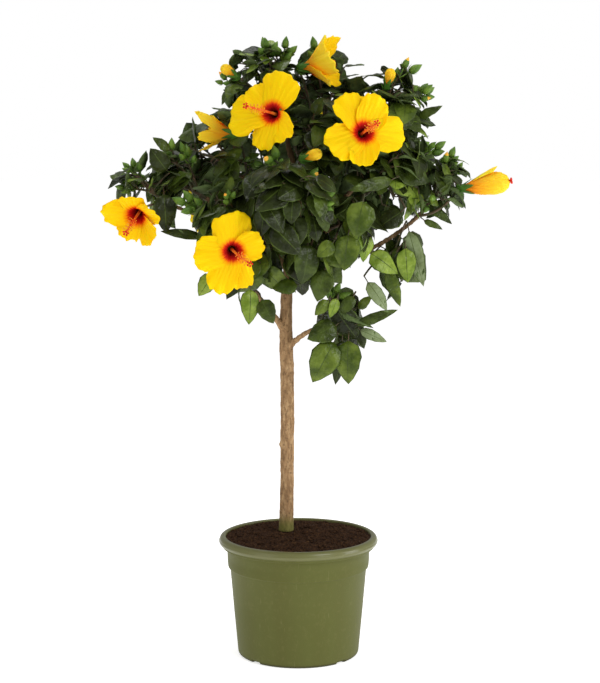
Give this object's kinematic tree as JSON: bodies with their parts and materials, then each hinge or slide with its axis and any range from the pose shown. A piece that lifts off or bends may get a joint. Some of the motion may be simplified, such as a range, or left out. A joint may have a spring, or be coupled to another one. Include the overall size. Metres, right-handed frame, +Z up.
{
  "type": "potted hibiscus shrub",
  "caption": "Hibiscus shrub grown as a small standard in a round nursery pot, with a loose leafy crown and large yellow blooms.",
  "frame": {"origin": "centre of the pot's flat underside", "axes": "+Z up along the trunk, -Y towards the side with most blooms, +X to the right seen from there"},
  "size_m": [0.5448, 0.3527, 0.8585],
  "materials": {
    "pot": "olive green moulded plastic with a soft sheen",
    "potting_mix": "dark brown crumbly plant fibre and bark",
    "bark": "grey-brown bark with fine cracks and leaf scars",
    "foliage": "dark green leaves with a waxy gloss and pale veins",
    "petals": "thin yellow petals with a deep red throat"
  },
  "bodies": {
    "root": {"pot": "pot", "potting_mix": "potting_mix", "trunk": "bark", "bough_centre": "bark", "bough_top_left": "bark", "bough_top": "bark", "bough_top_right": "bark", "bough_upper_left": "bark", "bough_left": "bark", "bough_far_left": "bark", "bough_right": "bark", "bough_far_right": "bark", "bough_right_low": "bark", "bough_middle_right": "bark", "bough_low_right": "bark", "bough_left_low": "bark", "bough_lower_centre": "bark", "bough_front_left": "bark", "bough_front_centre": "bark", "bough_back_low": "bark", "bough_back_left": "bark", "bough_back_centre": "bark", "bough_back_right": "bark", "bloom_upper_left": "petals", "bloom_upper_right": "petals", "bloom_lower_left": "petals", "bloom_far_left": "petals", "bloom_top": "petals", "bloom_side_left": "petals", "bloom_back_centre": "petals", "bloom_back_left": "petals", "bloom_right_furled": "petals", "bloom_front_furled": "petals", "bloom_top_left_furled": "petals", "bloom_top_right_furled": "petals", "foliage_centre": "foliage", "foliage_top_left": "foliage", "foliage_top": "foliage", "foliage_top_right": "foliage", "foliage_upper_left": "foliage", "foliage_left": "foliage", "foliage_far_left": "foliage", "foliage_right": "foliage", "foliage_far_right": "foliage", "foliage_right_low": "foliage", "foliage_middle_right": "foliage", "foliage_low_right": "foliage", "foliage_left_low": "foliage", "foliage_lower_centre": "foliage", "foliage_front_left": "foliage", "foliage_front_centre": "foliage", "foliage_back_low": "foliage", "foliage_back_left": "foliage", "foliage_back_centre": "foliage", "foliage_back_right": "foliage"}
  },
  "joints": []
}
